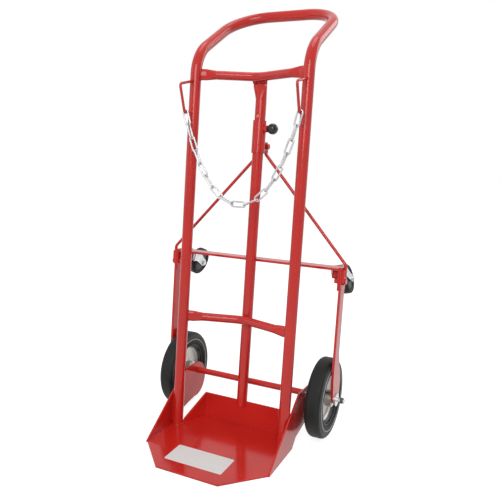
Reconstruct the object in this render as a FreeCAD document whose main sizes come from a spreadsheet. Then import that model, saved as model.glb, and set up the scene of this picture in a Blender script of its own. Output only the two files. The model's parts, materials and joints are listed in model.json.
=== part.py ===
import FreeCAD, Part
import math
import os
import Sketcher
from FreeCAD import Placement, Rotation, Vector

# Cylinder hand truck. X runs to the right, -Y is the front with the toe tray, Z is up and the floor is Z = 0.
# The uprights lean back. Their own coordinates are x, v and u: v points back, square to the uprights, and u runs
# up along them from the line where they stand on the floor.

SIZES = [
    # frame tube and its lean
    ("lean", 5),
    ("tube_od", 27),
    ("tube_wall", 2.5),
    ("upright_half", 146),
    ("handle_bend_u", 885),
    ("handle_bend_radius", 92),
    ("handle_angle", 56),
    ("handle_straight", 107),
    ("handle_corner_radius", 94),
    # crossbars
    ("bar_od", 21),
    ("bar_wall", 2),
    ("bar_bend_radius", 60),
    ("bar_flat_height", 27),
    ("bar_flat_thick", 9),
    ("bar_flat_length", 26),
    ("bar_taper_length", 24),
    ("upper_bar_u", 886),
    ("mid_bar_u", 288),
    # centre tube, flattened behind the upper crossbar
    ("centre_v", 72),
    ("centre_lap", 6),
    ("centre_flat_width", 36),
    ("centre_flat_thick", 7),
    ("centre_top_rise", 8),
    ("centre_flat_drop", 20),
    ("centre_taper_length", 30),
    # toe tray and gussets
    ("sheet", 4),
    ("tray_front_y", -197),
    ("tray_front_half", 79),
    ("tray_chamfer_y", -114),
    ("plate_back_y", 22),
    ("wall_set", 6),
    ("wall_half", 105),
    ("wall_height", 67),
    ("wing_front_y", 12),
    ("wing_half", 135.5),
    ("wing_low", 13.5),
    ("shoulder_set", 71),
    ("shoulder_rise", 28),
    ("gusset_top_rise", 24),
    ("gusset_low_set", 24),
    ("gusset_low_drop", 69),
    ("gusset_heel_set", 22),
    ("gusset_heel_rise", 20),
    # axle and road wheels
    ("axle_y", 129),
    ("axle_od", 16),
    ("axle_stub_od", 8),
    ("axle_tail", 4),
    ("wheel_od", 200),
    ("tyre_width", 40),
    ("tyre_shoulder", 11),
    ("tyre_bead", 33),
    ("hub_od", 40),
    ("hub_length", 44),
    ("bush_od", 24),
    ("rim_web", 6),
    ("rim_lip", 4),
    ("rim_dish", 12),
    ("spacer_od", 26),
    ("spacer_length", 18),
    ("washer_od", 32),
    ("washer_thick", 1.4),
    ("end_spacer_od", 11),
    ("end_spacer_length", 8.5),
    ("axle_nut_flats", 13),
    ("axle_nut_height", 7),
    ("split_pin", 2),
    ("split_pin_length", 14),
    # rear support
    ("arm_thick", 6),
    ("arm_front_v", 85),
    ("arm_back_v", 118),
    ("arm_top_u", 444),
    ("arm_boss_radius", 28),
    ("arm_boss_front", 26),
    ("arm_heel", 27),
    ("arm_heel_rise", 47),
    ("arm_taper_rise", 115),
    ("arm_knee_rise", 55),
    ("rear_bar_thick", 6),
    ("rear_bar_depth", 30),
    ("bracket_height", 56),
    ("bracket_tab", 28),
    ("bracket_tab_height", 32),
    # castors
    ("kingpin_inset", 17),
    ("kingpin_drop", 18),
    ("kingpin_od", 10),
    ("kingpin_nut_flats", 17),
    ("kingpin_nut_height", 9),
    ("kingpin_head_od", 17),
    ("race_od", 30),
    ("race_height", 6),
    ("fork_sheet", 3),
    ("fork_width", 34),
    ("fork_crown", 19),
    ("fork_crown_trail", 12),
    ("fork_cheek", 14),
    ("fork_eye_radius", 10),
    ("castor_trail", 22),
    ("castor_drop", 64.5),
    ("castor_od", 75),
    ("castor_width", 23),
    ("castor_tread", 6),
    ("castor_core_od", 50),
    ("castor_hub_width", 27),
    ("castor_axle_od", 8),
    ("castor_bolt_head", 13),
    ("castor_turn", 15),
    # fold links
    ("link_pivot_v", 96),
    ("link_pivot_drop", 33),
    ("apex_v", 101),
    ("link_rod", 8),
    ("link_flat", 6),
    ("link_eye_od", 19),
    ("link_tab", 40),
    ("link_tab_flat", 28),
    ("apex_eye_od", 22),
    ("apex_tab", 18),
    ("apex_tab_flat", 16),
    ("link_bend_radius", 12),
    ("pivot_od", 8),
    ("pivot_head_od", 14),
    ("pivot_head_height", 3),
    ("pivot_nut_height", 9),
    # sleeve and clamp, hung from the stop rivet
    ("stop_inset", 42),
    ("stop_gap", 9),
    ("stop_od", 9),
    ("stop_height", 3),
    ("stop_shank", 5),
    ("sleeve_od", 33),
    ("sleeve_clearance", 0.9),
    ("sleeve_length", 79),
    ("lug_rise", 19),
    ("lug_thick", 8),
    ("lug_radius", 10),
    ("apex_nut_flats", 13),
    ("apex_nut_height", 6),
    ("clamp_rise", 59.5),
    ("clamp_boss_od", 17),
    ("clamp_boss_x", 22),
    ("clamp_screw_od", 8),
    ("knob_od", 27),
    ("knob_x", 36),
    ("knob_collar_od", 14),
    # chain and hooks
    ("hook_rod", 6.4),
    ("hook_u", 868),
    ("hook_top_v", -69),
    ("hook_top_u", 851),
    ("hook_valley_v", -43),
    ("hook_valley_u", 788),
    ("hook_arch_u", 793),
    ("hook_tail_u", 764),
    ("hook_bend_radius", 7),
    ("chain_wire", 4),
    ("chain_pitch", 33),
    ("chain_width", 16),
    ("chain_links", 17),
    # clearances
    ("weld_gap", 0.1),
    ("side_gap", 0.3),
    ("pin_fit", 0.05),
    ("chain_slack", 0.5),
]

doc = FreeCAD.newDocument("cylinder_hand_truck")
sheet = doc.addObject("Spreadsheet::Sheet", "sizes")
for row, (name, number) in enumerate(SIZES, start=1):
    sheet.set(f"A{row}", name)
    sheet.set(f"B{row}", str(number))
    sheet.setAlias(f"B{row}", name)
doc.recompute()


class Dim:
    """A size: the sheet expression that gives it, and its number."""

    def __init__(self, text, value):
        self.text = text
        self.value = value

    def __add__(self, other):
        return Dim(f"({self.text} + {as_dim(other).text})", self.value + as_dim(other).value)

    def __sub__(self, other):
        return Dim(f"({self.text} - {as_dim(other).text})", self.value - as_dim(other).value)

    def __mul__(self, other):
        return Dim(f"({self.text} * {as_dim(other).text})", self.value * as_dim(other).value)

    def __truediv__(self, other):
        return Dim(f"({self.text} / {as_dim(other).text})", self.value / as_dim(other).value)

    def __neg__(self):
        return Dim(f"(0 - {self.text})", -self.value)


def as_dim(size):
    return size if isinstance(size, Dim) else Dim(repr(size), float(size))


def root(size):
    return Dim(f"sqrt({size.text})", math.sqrt(size.value))


def sine(angle):
    return Dim(f"sin({angle.text} * 1deg)", math.sin(math.radians(angle.value)))


def cosine(angle):
    return Dim(f"cos({angle.text} * 1deg)", math.cos(math.radians(angle.value)))


class Sizes:
    """Each cell of the sheet by its alias."""

    def __getattr__(self, name):
        return Dim(f"sizes.{name}", float(sheet.get(name)))


s = Sizes()
ZERO = as_dim(0)
AXIS_X = Vector(1, 0, 0)
AXIS_Y = Vector(0, 1, 0)
AXIS_Z = Vector(0, 0, 1)
LEANED = Placement(Vector(0, 0, 0), Rotation(AXIS_X, -s.lean.value))
QUARTER = 90
SIDES = [("left", -1), ("right", 1)]
nodes = []

# Sizes that follow from others
tube_r = s.tube_od / 2
bar_r = s.bar_od / 2
axle_r = s.axle_od / 2
axle_z = s.wheel_od / 2
axle_v = s.axle_y * cosine(s.lean) - axle_z * sine(s.lean)
axle_u = s.axle_y * sine(s.lean) + axle_z * cosine(s.lean)
gusset_x = s.upright_half + tube_r + s.weld_gap
wall_back_y = s.centre_v + s.wall_set
wall_front_y = wall_back_y - s.sheet
centre_foot_u = s.wall_height - s.centre_lap
centre_top_u = s.upper_bar_u + s.centre_top_rise
centre_flat_u = s.upper_bar_u - s.centre_flat_drop
centre_taper_u = centre_flat_u - s.centre_taper_length
stop_u = centre_taper_u - s.stop_inset
sleeve_low_u = stop_u - s.stop_gap - s.sleeve_length
apex_u = sleeve_low_u + s.lug_rise
clamp_u = sleeve_low_u + s.clamp_rise
# Along the axle, from the gusset outwards
hub_half = s.hub_length / 2
spacer_start = gusset_x + s.sheet + s.weld_gap
wheel_x = spacer_start + s.spacer_length + s.side_gap + hub_half
hub_outer = wheel_x + hub_half
arm_x = hub_outer + s.side_gap * 2 + s.washer_thick
arm_outer_x = arm_x + s.arm_thick
outer_washer_start = arm_outer_x + s.side_gap
outer_washer_thick = s.washer_thick * 2
axle_shoulder = outer_washer_start - s.weld_gap
end_spacer_start = outer_washer_start + outer_washer_thick + s.weld_gap
nut_start = end_spacer_start + s.end_spacer_length + s.weld_gap
axle_half = nut_start + s.axle_nut_height + s.axle_tail
split_pin_x = axle_half - s.axle_tail / 2
# At the head of the rear support
leg_outer_x = arm_x - s.weld_gap
leg_inner_x = leg_outer_x - s.sheet
bracket_low_u = s.arm_top_u - s.bracket_height
web_v = s.arm_back_v + s.sheet
kingpin_x = arm_x - s.kingpin_inset
kingpin_u = s.arm_top_u - s.kingpin_drop
link_pivot_u = s.arm_top_u - s.link_pivot_drop
link_rise = apex_u - link_pivot_u
link_shift = s.apex_v - s.link_pivot_v
link_length = root(link_rise * link_rise + link_shift * link_shift)
pivot_r = s.pivot_od / 2
lug_half = s.lug_thick / 2
fork_inner = s.fork_width / 2 - s.fork_sheet


def place(thing, x=ZERO, y=ZERO, z=ZERO, turn=ZERO):
    """Stands a thing at x, y, z, tipped back by turn degrees, all bound to the sheet."""
    thing.Placement = Placement(Vector(x.value, y.value, z.value), Rotation(-AXIS_X, turn.value))
    thing.setExpression("Placement.Base.x", x.text)
    thing.setExpression("Placement.Base.y", y.text)
    thing.setExpression("Placement.Base.z", z.text)
    if turn.value:
        thing.setExpression("Placement.Rotation.Angle", f"{turn.text} * 1deg")


def place_leaned(thing, x=ZERO, v=ZERO, u=ZERO, more=ZERO):
    """Stands a thing at x, v, u of the uprights, leaning with them and more degrees beyond."""
    y = v * cosine(s.lean) + u * sine(s.lean)
    z = u * cosine(s.lean) - v * sine(s.lean)
    place(thing, x, y, z, s.lean + more)


def new_body(label):
    body = doc.addObject("PartDesign::Body", label)
    body.Label = label
    nodes.append(body)
    return body


def new_sketch(body, role, offset=None):
    sketch = body.newObject("Sketcher::SketchObject", f"{body.Label}_sketch")
    plane = next(feature for feature in body.Origin.OriginFeatures if feature.Role == role)
    sketch.AttachmentSupport = [(plane, "")]
    sketch.MapMode = "FlatFace"
    if offset is not None:
        sketch.AttachmentOffset = Placement(Vector(0, 0, offset.value), Rotation())
        sketch.setExpression("AttachmentOffset.Base.z", offset.text)
    return sketch


def fix_point(sketch, geometry, position, x, y):
    for kind, size in (("DistanceX", x), ("DistanceY", y)):
        index = sketch.addConstraint(Sketcher.Constraint(kind, geometry, position, size.value))
        sketch.setExpression(f"Constraints[{index}]", size.text)


def fix_radius(sketch, geometry, radius):
    index = sketch.addConstraint(Sketcher.Constraint("Radius", geometry, radius.value))
    sketch.setExpression(f"Constraints[{index}]", radius.text)


def circle(sketch, x, y, radius):
    index = sketch.addGeometry(Part.Circle(Vector(x.value, y.value, 0), AXIS_Z, radius.value), False)
    fix_radius(sketch, index, radius)
    fix_point(sketch, index, 3, x, y)


def arc_between(start, end, radius, side):
    """Arc from start to end, its centre to the left (side 1) or right (side -1) of the chord."""
    chord = end - start
    reach = math.sqrt(max(radius ** 2 - (chord.Length / 2) ** 2, 0))
    normal = Vector(-chord.y, chord.x, 0).normalize()
    centre = (start + end) / 2 + normal * (reach * side)
    ring = Part.Circle(centre, AXIS_Z, radius)
    if side > 0:
        return Part.ArcOfCircle(ring, ring.parameter(start), ring.parameter(end))
    return Part.ArcOfCircle(ring, ring.parameter(end), ring.parameter(start))


def fix_centre(sketch, geometry, start, end):
    """Holds the centre of a half circle between its two ends."""
    level = abs(end[0].value - start[0].value) > abs(end[1].value - start[1].value)
    kind = "DistanceY" if level else "DistanceX"
    size = (start[level] + end[level]) / 2
    index = sketch.addConstraint(Sketcher.Constraint(kind, geometry, 3, size.value))
    sketch.setExpression(f"Constraints[{index}]", size.text)


def outline(sketch, corners):
    """Closed outline. A corner is (x, y), or (x, y, radius, side) where an arc leads to the next corner.
    The arc is a half circle where its radius is left open."""
    first = sketch.GeometryCount
    count = len(corners)
    points = [Vector(corner[0].value, corner[1].value, 0) for corner in corners]
    heads = []
    for index, corner in enumerate(corners):
        start = points[index]
        end = points[(index + 1) % count]
        if len(corner) == 2:
            sketch.addGeometry(Part.LineSegment(start, end), False)
            heads.append((1, 2))
        else:
            radius = corner[2].value if corner[2] else (end - start).Length / 2
            sketch.addGeometry(arc_between(start, end, radius, corner[3]), False)
            heads.append((1, 2) if corner[3] > 0 else (2, 1))
    for index, corner in enumerate(corners):
        after = (index + 1) % count
        sketch.addConstraint(
            Sketcher.Constraint("Coincident", first + index, heads[index][1], first + after, heads[after][0]))
        fix_point(sketch, first + index, heads[index][0], corner[0], corner[1])
        if len(corner) > 2 and corner[2]:
            fix_radius(sketch, first + index, corner[2])
        elif len(corner) > 2:
            fix_centre(sketch, first + index, corner, corners[after])


def rectangle(sketch, x0, x1, y0, y1):
    outline(sketch, [(x0, y0), (x1, y0), (x1, y1), (x0, y1)])


def hexagon(sketch, x, y, flats):
    corner = flats / math.sqrt(3)
    points = []
    for step in range(6):
        angle = math.radians(60 * step)
        points.append((x + corner * round(math.cos(angle), 9), y + corner * round(math.sin(angle), 9)))
    outline(sketch, points)


def pad(body, sketch, length, symmetric=False):
    feature = body.newObject("PartDesign::Pad", f"{body.Label}_pad")
    feature.Profile = sketch
    if symmetric:
        feature.SideType = "Symmetric"
    feature.Length = length.value
    feature.setExpression("Length", length.text)
    return feature


def pocket(body, sketch, length=None):
    """Cuts through everything, or to a length against the sketch's normal."""
    feature = body.newObject("PartDesign::Pocket", f"{body.Label}_cut")
    feature.Profile = sketch
    if length is None:
        feature.SideType = "Symmetric"
        feature.Type = "ThroughAll"
    else:
        feature.Length = length.value
        feature.setExpression("Length", length.text)
    return feature


def revolve(body, sketch):
    feature = body.newObject("PartDesign::Revolution", f"{body.Label}_turned")
    feature.Profile = sketch
    feature.ReferenceAxis = (sketch, ["H_Axis"])
    feature.Angle = 360
    return feature


def turned(label, profile):
    """A part turned about its own X axis from a profile of (x, radius) corners."""
    body = new_body(label)
    sketch = new_sketch(body, "XY_Plane")
    outline(sketch, profile)
    revolve(body, sketch)
    return body


def ring(label, outer_d, inner_d, length):
    return turned(label, [(ZERO, inner_d / 2), (length, inner_d / 2), (length, outer_d / 2), (ZERO, outer_d / 2)])


def plain(label, shape):
    """A part whose form is swept or lofted in space."""
    feature = doc.addObject("Part::Feature", label)
    feature.Label = label
    feature.Shape = shape
    nodes.append(feature)
    return feature


def rounded_path(points, radii):
    """Straight runs through the points, joined by tangent arcs of the given radii at the inner points."""
    edges = []
    last = points[0]
    for index in range(1, len(points) - 1):
        corner = points[index]
        back = (points[index - 1] - corner).normalize()
        ahead = (points[index + 1] - corner).normalize()
        half = back.getAngle(ahead) / 2
        reach = radii[index - 1] / math.tan(half)
        begin = corner + back * reach
        end = corner + ahead * reach
        middle_line = (back + ahead).normalize()
        middle = corner + middle_line * (radii[index - 1] / math.sin(half) - radii[index - 1])
        edges.append(Part.LineSegment(last, begin).toShape())
        edges.append(Part.Arc(begin, middle, end).toShape())
        last = end
    edges.append(Part.LineSegment(last, points[-1]).toShape())
    return Part.Wire(edges)


def swept(path, radius):
    start = path.Edges[0]
    direction = start.tangentAt(start.FirstParameter)
    section = Part.Wire([Part.makeCircle(radius, start.valueAt(start.FirstParameter), direction)])
    return path.makePipeShell([section], True, False)


def oval(centre, long_way, half_long, short_way, half_short):
    """Oval wire about a centre with its half axes along the two directions."""
    curve = Part.Ellipse(Vector(0, 0, 0), half_long, half_short).toShape()
    curve.Placement = Placement(centre, Rotation(long_way, short_way, long_way.cross(short_way), "XYZ"))
    return Part.Wire([curve])


def joined(shapes):
    return shapes[0].fuse(shapes[1:]).removeSplitter()


# Frame loop: both uprights and the handle are one tube, bent back above the upper crossbar
def handle_points():
    angle = math.radians(s.handle_angle.value)
    bend = s.handle_bend_radius.value
    corner_u = s.handle_bend_u.value + bend * math.tan(angle / 2)
    reach = bend * math.tan(angle / 2) + s.handle_straight.value + s.handle_corner_radius.value
    tip_v = reach * math.sin(angle)
    tip_u = corner_u + reach * math.cos(angle)
    half = s.upright_half.value
    below = -s.tube_od.value
    return [
        Vector(-half, 0, below),
        Vector(-half, 0, corner_u),
        Vector(-half, tip_v, tip_u),
        Vector(half, tip_v, tip_u),
        Vector(half, 0, corner_u),
        Vector(half, 0, below),
    ]


loop_path = rounded_path(handle_points(), [
    s.handle_bend_radius.value,
    s.handle_corner_radius.value,
    s.handle_corner_radius.value,
    s.handle_bend_radius.value,
])
loop_solid = swept(loop_path, tube_r.value).cut(swept(loop_path, tube_r.value - s.tube_wall.value))
loop_solid.Placement = LEANED
room = 4 * gusset_x.value
under_tray = Part.makeBox(room, room, room, Vector(-room / 2, -room / 2, s.sheet.value - room))
plain("frame_loop", loop_solid.cut(under_tray))


# Crossbars: V-bent tubes whose flattened ends are coped to the uprights and whose bend meets the centre tube
def bar_vertex(apex):
    vertex = apex
    for _ in range(8):
        slope = math.atan2(vertex, s.upright_half.value)
        vertex = apex + s.bar_bend_radius.value * (1 / math.cos(slope) - 1)
    return vertex


def bar_solid(inset):
    apex = s.centre_v.value - tube_r.value - bar_r.value - s.weld_gap.value
    vertex = bar_vertex(apex)
    half = s.upright_half.value
    round_r = bar_r.value - inset
    flat_tall = s.bar_flat_height.value / 2 - inset
    flat_thick = s.bar_flat_thick.value / 2 - inset
    leg = math.hypot(half, vertex)
    flat_from = 1 - s.bar_flat_length.value / leg
    taper_from = flat_from - s.bar_taper_length.value / leg
    top = Vector(0, vertex, 0)
    pieces = []
    for side in (-1, 1):
        foot = Vector(side * half, 0, 0)
        along = (foot - top).normalize()
        across = along.cross(AXIS_Z)
        taper_at = top + (foot - top) * taper_from
        flat_at = top + (foot - top) * flat_from
        wide_end = oval(taper_at, AXIS_Z, round_r, across, round_r)
        flat_end = oval(flat_at, AXIS_Z, flat_tall, across, flat_thick)
        pieces.append(Part.makeLoft([wide_end, flat_end], True, True))
        pieces.append(Part.Face(flat_end).extrude(foot - flat_at))
    ends = [top + (Vector(side * half, 0, 0) - top) * taper_from for side in (-1, 1)]
    path = rounded_path([ends[0], top, ends[1]], [s.bar_bend_radius.value])
    return joined([swept(path, round_r)] + pieces)


def crossbar(label, height):
    bar = bar_solid(0).cut(bar_solid(s.bar_wall.value))
    bar.translate(AXIS_Z * height.value)
    place_leaned(plain(label, bar.cut(swept(loop_path, tube_r.value + s.weld_gap.value))))


crossbar("upper_crossbar", s.upper_bar_u)
crossbar("mid_crossbar", s.mid_bar_u)


# Centre tube: flattened flush with its front behind the upper crossbar, slotted over the tray's rear wall
def centre_solid(inset):
    round_r = tube_r.value - inset
    half_wide = s.centre_flat_width.value / 2 - inset
    half_thick = s.centre_flat_thick.value / 2 - inset
    axis = Vector(0, s.centre_v.value, 0)
    front = Vector(0, s.centre_v.value - tube_r.value + s.centre_flat_thick.value / 2, 0)
    foot = axis + AXIS_Z * centre_foot_u.value
    taper_at = axis + AXIS_Z * centre_taper_u.value
    flat_at = front + AXIS_Z * centre_flat_u.value
    flat_end = oval(flat_at, AXIS_X, half_wide, AXIS_Y, half_thick)
    round_end = oval(taper_at, AXIS_X, round_r, AXIS_Y, round_r)
    return joined([
        Part.makeCylinder(round_r, (centre_taper_u - centre_foot_u).value, foot, AXIS_Z),
        Part.makeLoft([round_end, flat_end], True, True),
        Part.Face(flat_end).extrude(AXIS_Z * (centre_top_u - centre_flat_u).value),
    ])


stop_at = Vector(0, s.centre_v.value, stop_u.value)
centre = centre_solid(0).cut(centre_solid(s.tube_wall.value))
centre = centre.cut(Part.makeCylinder(s.stop_shank.value / 2 + s.pin_fit.value, s.tube_od.value, stop_at, -AXIS_Y))
centre.Placement = LEANED
slot_low = Vector(-room / 2, wall_front_y.value - s.weld_gap.value, -room)
slot_high = s.wall_height.value + s.weld_gap.value + room
slot = Part.makeBox(room, s.sheet.value + 2 * s.weld_gap.value, slot_high, slot_low)
plain("centre_tube", centre.cut(slot))

# Stop rivet: domed head on the front of the centre tube, just above the sleeve
rivet = turned("stop_rivet", [
    (-(s.tube_wall), ZERO),
    (s.stop_height, ZERO, (s.stop_od * s.stop_od / 4 + s.stop_height * s.stop_height) / s.stop_height / 2, 1),
    (s.weld_gap, s.stop_od / 2),
    (s.weld_gap, s.stop_shank / 2),
    (-(s.tube_wall), s.stop_shank / 2),
])
rivet_base = LEANED.multVec(Vector(0, s.centre_v.value - tube_r.value, stop_u.value))
rivet.Placement = Placement(rivet_base, LEANED.Rotation.multiply(Rotation(AXIS_Z, -QUARTER)))

# Toe tray: plate with cut front corners, upright rear wall and corner wings that slope down to the front
tray = new_body("toe_tray")
plate = new_sketch(tray, "XY_Plane")
wing_slope = (s.wing_half - s.wall_half) / (wall_back_y - s.wing_front_y)
right_edge = [
    (s.tray_front_half, s.tray_front_y),
    (gusset_x, s.tray_chamfer_y),
    (gusset_x, s.plate_back_y),
    (s.wall_half + wing_slope * (wall_back_y - s.plate_back_y), s.plate_back_y),
    (s.wall_half, wall_back_y),
]
outline(plate, right_edge + [(-x, y) for x, y in reversed(right_edge)])
pad(tray, plate, s.sheet)
wing_step = s.sheet * root(wing_slope * wing_slope + 1)
wing_inner = s.wing_half - wing_step
wall_inner = wing_inner - wing_slope * (wall_front_y - s.wing_front_y)
right_wall = [
    (wall_inner, wall_front_y),
    (wing_inner, s.wing_front_y),
    (s.wing_half, s.wing_front_y),
    (s.wall_half, wall_back_y),
]
rear_wall = new_sketch(tray, "XY_Plane")
outline(rear_wall, right_wall + [(-x, y) for x, y in reversed(right_wall)])
pad(tray, rear_wall, s.wall_height)
slope = new_sketch(tray, "YZ_Plane")
outline(slope, [
    (s.wing_front_y - s.sheet, s.wing_low),
    (s.wing_front_y, s.wing_low),
    (wall_front_y, s.wall_height),
    (wall_front_y, s.wall_height + s.sheet),
    (s.wing_front_y - s.sheet, s.wall_height + s.sheet),
])
pocket(tray, slope)

# Gussets: side plates that carry the axle behind the uprights
for name, side in SIDES:
    gusset = new_body(f"{name}_gusset")
    face = new_sketch(gusset, "YZ_Plane")
    outline(face, [
        (s.tray_chamfer_y, ZERO),
        (s.tray_chamfer_y, s.sheet),
        (s.axle_y - s.shoulder_set, axle_z + s.shoulder_rise),
        (s.axle_y, axle_z + s.gusset_top_rise, None, -1),
        (s.axle_y - s.gusset_low_set, axle_z - s.gusset_low_drop),
        (s.plate_back_y + s.gusset_heel_set, s.gusset_heel_rise),
        (s.plate_back_y, ZERO),
    ])
    circle(face, s.axle_y, axle_z, axle_r + s.weld_gap)
    pad(gusset, face, s.sheet)
    place(gusset, gusset_x if side > 0 else -(gusset_x + s.sheet))

# Axle with a stub turned down at each end, drilled for the split pin
axle = new_body("axle")
for radius, reach in ((axle_r, axle_shoulder), (s.axle_stub_od / 2, axle_half)):
    rod = new_sketch(axle, "YZ_Plane")
    circle(rod, ZERO, ZERO, radius)
    pad(axle, rod, reach * 2, symmetric=True)
pin_holes = new_sketch(axle, "XY_Plane")
for name, side in SIDES:
    circle(pin_holes, split_pin_x * side, ZERO, s.split_pin / 2 + s.pin_fit)
pocket(axle, pin_holes)
place(axle, y=s.axle_y, z=axle_z)


# What turns and sits on the axle, from the gusset outwards
def on_axle(body, side, start, length):
    """Stands a ring of the given length on the axle, its inner end at start from the middle."""
    place(body, start if side > 0 else -(start + length), s.axle_y, axle_z)


axle_hole = s.axle_od + s.pin_fit * 2
stub_hole = s.axle_stub_od + s.pin_fit * 2
tyre_r = s.wheel_od / 2
bead_r = tyre_r - s.tyre_bead
rim_r = bead_r - s.weld_gap
for name, side in SIDES:
    half = s.tyre_width / 2
    seat = half - s.rim_lip
    tyre = turned(f"{name}_tyre", [
        (-seat, bead_r),
        (seat, bead_r),
        (half, bead_r + s.rim_lip),
        (half, tyre_r - s.tyre_shoulder, s.tyre_shoulder, 1),
        (half - s.tyre_shoulder, tyre_r),
        (s.tyre_shoulder - half, tyre_r, s.tyre_shoulder, 1),
        (-half, tyre_r - s.tyre_shoulder),
        (-half, bead_r + s.rim_lip),
    ])
    place(tyre, wheel_x * side, s.axle_y, axle_z)
    web = s.rim_web / 2
    rim = turned(f"{name}_rim", [
        (-hub_half, s.bush_od / 2 + s.weld_gap),
        (hub_half, s.bush_od / 2 + s.weld_gap),
        (hub_half, s.hub_od / 2),
        (web * 2, s.hub_od / 2),
        (web, s.hub_od / 2 + s.rim_lip),
        (web, rim_r - s.rim_dish),
        (seat - s.rim_lip, rim_r - s.rim_lip),
        (seat, rim_r - s.rim_lip),
        (seat, rim_r),
        (-seat, rim_r),
        (-seat, rim_r - s.rim_lip),
        (s.rim_lip - seat, rim_r - s.rim_lip),
        (-web, rim_r - s.rim_dish),
        (-web, s.hub_od / 2 + s.rim_lip),
        (web * -2, s.hub_od / 2),
        (-hub_half, s.hub_od / 2),
    ])
    place(rim, wheel_x * side, s.axle_y, axle_z)
    bush = ring(f"{name}_hub_bush", s.bush_od, axle_hole, s.hub_length)
    on_axle(bush, side, wheel_x - hub_half, s.hub_length)
    spacer = ring(f"{name}_axle_spacer", s.spacer_od, axle_hole, s.spacer_length)
    on_axle(spacer, side, spacer_start, s.spacer_length)
    inner_washer = ring(f"{name}_inner_washer", s.washer_od, axle_hole, s.washer_thick)
    on_axle(inner_washer, side, hub_outer + s.side_gap, s.washer_thick)
    outer_washer = ring(f"{name}_outer_washer", s.washer_od, stub_hole, outer_washer_thick)
    on_axle(outer_washer, side, outer_washer_start, outer_washer_thick)
    end_spacer = ring(f"{name}_end_spacer", s.end_spacer_od, stub_hole, s.end_spacer_length)
    on_axle(end_spacer, side, end_spacer_start, s.end_spacer_length)
    nut = new_body(f"{name}_axle_nut")
    flats = new_sketch(nut, "YZ_Plane")
    hexagon(flats, ZERO, ZERO, s.axle_nut_flats)
    circle(flats, ZERO, ZERO, stub_hole / 2)
    pad(nut, flats, s.axle_nut_height)
    on_axle(nut, side, nut_start, s.axle_nut_height)
    pin = doc.addObject("Part::Cylinder", f"{name}_split_pin")
    pin.Label = f"{name}_split_pin"
    pin.setExpression("Radius", (s.split_pin / 2).text)
    pin.setExpression("Height", s.split_pin_length.text)
    place(pin, split_pin_x * side, s.axle_y, axle_z - s.split_pin_length / 2)
    nodes.append(pin)

# Rear support: flat-bar arms on the axle, angle brackets inside their tops, and a level crossbar
boss_rise = root(s.arm_boss_radius * s.arm_boss_radius - s.arm_boss_front * s.arm_boss_front)
heel_rise = root(s.arm_boss_radius * s.arm_boss_radius - s.arm_heel * s.arm_heel)
for name, side in SIDES:
    arm = new_body(f"{name}_arm")
    flank = new_sketch(arm, "YZ_Plane")
    outline(flank, [
        (s.arm_front_v, s.arm_top_u),
        (s.arm_front_v, axle_u + s.arm_knee_rise),
        (axle_v - s.arm_boss_front, axle_u + boss_rise, s.arm_boss_radius, 1),
        (axle_v + s.arm_heel, axle_u + heel_rise),
        (axle_v + s.arm_heel, axle_u + s.arm_heel_rise),
        (s.arm_back_v, axle_u + s.arm_taper_rise),
        (s.arm_back_v, s.arm_top_u),
    ])
    circle(flank, axle_v, axle_u, axle_r + s.pin_fit)
    circle(flank, s.link_pivot_v, link_pivot_u, pivot_r + s.pin_fit)
    pad(arm, flank, s.arm_thick)
    place_leaned(arm, arm_x if side > 0 else -arm_outer_x)

    bracket = new_body(f"{name}_castor_bracket")
    section = new_sketch(bracket, "XY_Plane")
    back_v = s.arm_back_v + s.weld_gap
    tab_x = arm_x - s.bracket_tab
    outline(section, [(x * side, v) for x, v in [
        (leg_inner_x, s.arm_front_v),
        (leg_outer_x, s.arm_front_v),
        (leg_outer_x, back_v),
        (arm_outer_x, back_v),
        (arm_outer_x, web_v),
        (tab_x, web_v),
        (tab_x, back_v),
        (leg_inner_x, back_v),
    ]])
    pad(bracket, section, s.bracket_height)
    below_tab = new_sketch(bracket, "XZ_Plane")
    tab_low = s.bracket_height - s.bracket_tab_height
    rectangle(below_tab, (tab_x - s.sheet) * side, leg_inner_x * side, -s.sheet, tab_low)
    pocket(bracket, below_tab)
    bolt_hole = new_sketch(bracket, "XZ_Plane")
    circle(bolt_hole, kingpin_x * side, kingpin_u - bracket_low_u, s.kingpin_od / 2 + s.pin_fit)
    pocket(bracket, bolt_hole)
    pivot_hole = new_sketch(bracket, "YZ_Plane")
    circle(pivot_hole, s.link_pivot_v, link_pivot_u - bracket_low_u, pivot_r + s.pin_fit)
    pocket(bracket, pivot_hole)
    place_leaned(bracket, u=bracket_low_u)

    nut_x = leg_inner_x - s.weld_gap
    head_x = arm_outer_x + s.side_gap * 2 + s.link_flat
    head_r = s.pivot_head_od / 2
    link_rivet = turned(f"{name}_link_rivet", [
        (nut_x - s.pivot_nut_height, ZERO),
        (head_x + s.pivot_head_height, ZERO),
        (head_x + s.pivot_head_height, head_r - s.side_gap),
        (head_x, head_r),
        (head_x, pivot_r),
        (nut_x, pivot_r),
        (nut_x, head_r),
        (nut_x - s.pivot_nut_height, head_r),
    ])
    base = LEANED.multVec(Vector(0, s.link_pivot_v.value, link_pivot_u.value))
    facing = Rotation(AXIS_Z, 0 if side > 0 else 2 * QUARTER)
    link_rivet.Placement = Placement(base, LEANED.Rotation.multiply(facing))

rear_bar = doc.addObject("Part::Box", "rear_crossbar")
rear_bar.Label = "rear_crossbar"
rear_bar_half = leg_inner_x - s.weld_gap
rear_bar_u = s.arm_top_u - s.rear_bar_thick
rear_bar.setExpression("Length", (rear_bar_half * 2).text)
rear_bar.setExpression("Width", s.rear_bar_depth.text)
rear_bar.setExpression("Height", s.rear_bar_thick.text)
place(
    rear_bar,
    -rear_bar_half,
    s.arm_back_v * cosine(s.lean) + rear_bar_u * sine(s.lean) - s.rear_bar_depth,
    rear_bar_u * cosine(s.lean) - s.arm_back_v * sine(s.lean),
)
nodes.append(rear_bar)


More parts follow.
